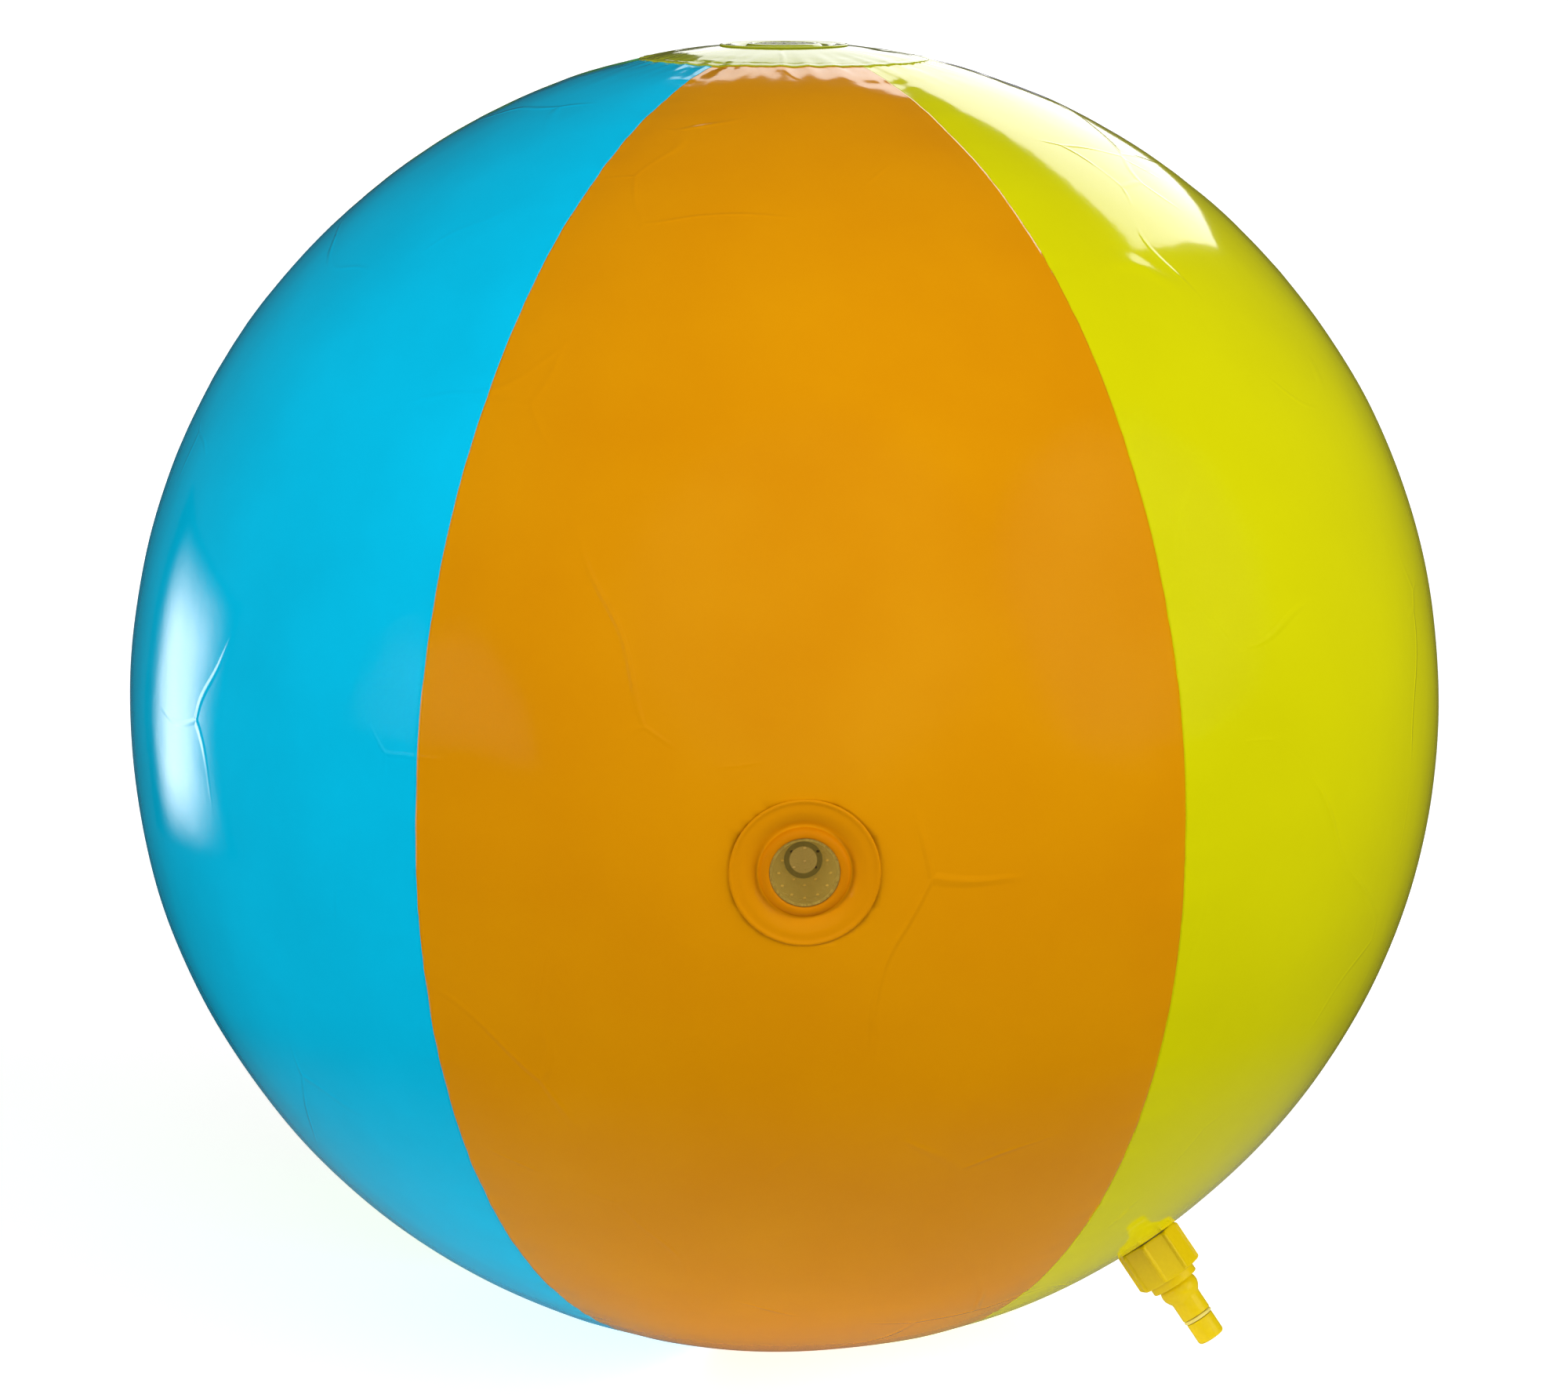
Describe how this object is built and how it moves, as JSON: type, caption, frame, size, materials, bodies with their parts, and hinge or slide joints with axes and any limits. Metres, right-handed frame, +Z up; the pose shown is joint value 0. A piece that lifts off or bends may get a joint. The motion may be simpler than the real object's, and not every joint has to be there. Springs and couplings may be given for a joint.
{
  "type": "inflatable beach ball",
  "caption": "Large inflatable ball of welded colour panels and polar caps, with spray ports, inner water tubes, a screw-on hose adaptor and an air valve.",
  "frame": {"origin": "centre of the flat patch that the ball rests on", "axes": "+Z up through the polar caps, -Y out of the middle of the orange panel, +X towards the yellow-green panel's side"},
  "size_m": [0.7, 0.7035, 0.6976],
  "materials": {
    "vinyl_orange": "glossy PVC film",
    "vinyl_yellow": "glossy PVC film, yellow-green",
    "vinyl_white": "glossy PVC film",
    "vinyl_red": "glossy PVC film",
    "vinyl_green": "glossy PVC film",
    "vinyl_blue": "glossy PVC film",
    "vinyl_cap": "glossy PVC film, yellow-green",
    "dish_orange": "soft PVC moulding",
    "dish_white": "soft PVC moulding",
    "dish_green": "soft PVC moulding",
    "dish_cap": "soft PVC moulding",
    "clear_moulding": "clear rigid plastic",
    "clear_tube": "clear flexible PVC tube",
    "hub_plastic": "white rigid plastic",
    "adaptor_plastic": "glossy yellow moulding",
    "washer_rubber": "matt black rubber",
    "seal_rubber": "pale rubber",
    "vinyl_clear": "clear soft PVC moulding"
  },
  "bodies": {
    "ball": {"panel_orange": "vinyl_orange", "panel_yellow": "vinyl_yellow", "panel_white": "vinyl_white", "panel_red": "vinyl_red", "panel_green": "vinyl_green", "panel_blue": "vinyl_blue", "cap_top": "vinyl_cap", "cap_bottom": "vinyl_cap", "port_dish_front": "dish_orange", "spray_plate_front": "clear_moulding", "spray_cup_front": "clear_moulding", "feed_tube_front": "clear_tube", "port_dish_right": "dish_white", "spray_plate_right": "clear_moulding", "spray_cup_right": "clear_moulding", "feed_tube_right": "clear_tube", "port_dish_left": "dish_green", "spray_plate_left": "clear_moulding", "spray_cup_left": "clear_moulding", "feed_tube_left": "clear_tube", "port_dish_top": "dish_cap", "spray_plate_top": "clear_moulding", "spray_cup_top": "clear_moulding", "feed_tube_top": "clear_tube", "hub_manifold": "hub_plastic", "inlet_flange": "vinyl_clear", "inlet_spigot": "adaptor_plastic", "inlet_tube": "clear_tube", "valve_flange": "vinyl_clear"},
    "washer": {"hose_washer": "washer_rubber"},
    "adaptor": {"hose_adaptor": "adaptor_plastic", "stem_seal": "seal_rubber"},
    "valve_stem_body": {"valve_stem": "vinyl_clear"},
    "valve_plug_body": {"valve_plug": "vinyl_clear"},
    "valve_flap_body": {"valve_flap": "vinyl_clear"}
  },
  "joints": [
    {"name": "adaptor_travel", "type": "slide", "parent": "ball", "child": "washer", "axis": [0.545, -0.3147, -0.7771], "range_m": [0, 0.00884]},
    {"name": "adaptor_turn", "type": "hinge", "parent": "washer", "child": "adaptor", "pos_m": [0.19729, -0.11391, 0.06554], "axis": [0.545, -0.3147, -0.7771], "range_deg": [0, 1440]},
    {"name": "valve_pull", "type": "slide", "parent": "ball", "child": "valve_stem_body", "axis": [0, 1, 0], "range_m": [0, 0.014]},
    {"name": "plug_swing", "type": "hinge", "parent": "valve_stem_body", "child": "valve_plug_body", "pos_m": [0, 0.3517, 0.33697], "axis": [-1, 0, 0], "range_deg": [0, 150]},
    {"name": "flap_swing", "type": "hinge", "parent": "valve_stem_body", "child": "valve_flap_body", "pos_m": [0, 0.3313, 0.35276], "axis": [-1, 0, 0], "range_deg": [0, 40]}
  ],
  "couplings": [
    {"joint": "adaptor_turn", "follows": "adaptor_travel", "rad_per_m": 2844.4}
  ]
}
